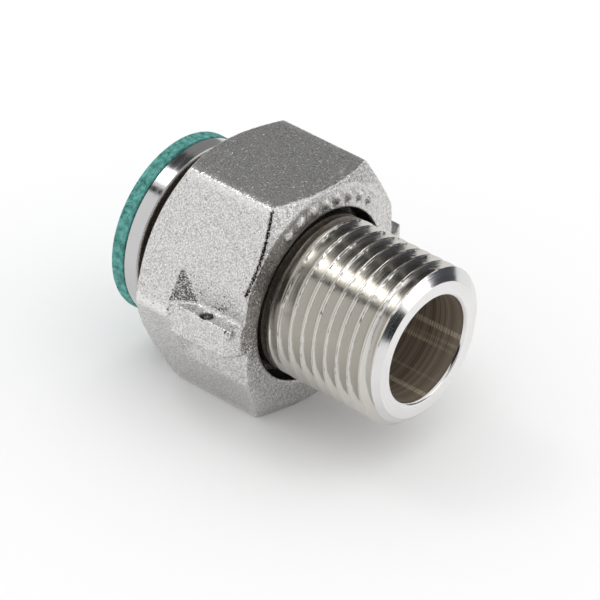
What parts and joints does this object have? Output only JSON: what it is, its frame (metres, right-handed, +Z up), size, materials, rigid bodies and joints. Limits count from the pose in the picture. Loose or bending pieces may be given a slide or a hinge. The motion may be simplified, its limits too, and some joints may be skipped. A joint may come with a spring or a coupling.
{
  "type": "half union",
  "caption": "Half union fitting: a tailpiece with a male pipe thread and a flange, a captive hexagon union nut with seal wire lugs, and a flat gasket.",
  "frame": {"origin": "middle of the gasket's outer face, on the axis of the water way", "axes": "+X along the water way towards the end of the male thread, +Z up out of one flat of the nut, +Y towards the corner of the nut with the other seal wire lug"},
  "size_m": [0.0406, 0.0344, 0.03],
  "materials": {
    "nut_nickel": "hot forged brass, shot blasted and nickel plated, matt with a fine sparkle",
    "tail_nickel": "turned brass, nickel plated, bright with fine turning lines",
    "gasket_fibre": "green compressed fibre sheet, matt with fine dark flecks"
  },
  "bodies": {
    "tail": {"tailpiece": "tail_nickel"},
    "gasket": {"gasket": "gasket_fibre"},
    "nut": {"union_nut": "nut_nickel"}
  },
  "joints": [
    {"name": "nut_turn", "type": "hinge", "parent": "tail", "child": "gasket", "pos_m": [0, 0, 0], "axis": [1, 0, 0], "continuous": true},
    {"name": "nut_slide", "type": "slide", "parent": "gasket", "child": "nut", "axis": [1, 0, 0], "range_m": [-0.0156, 0.02]}
  ]
}
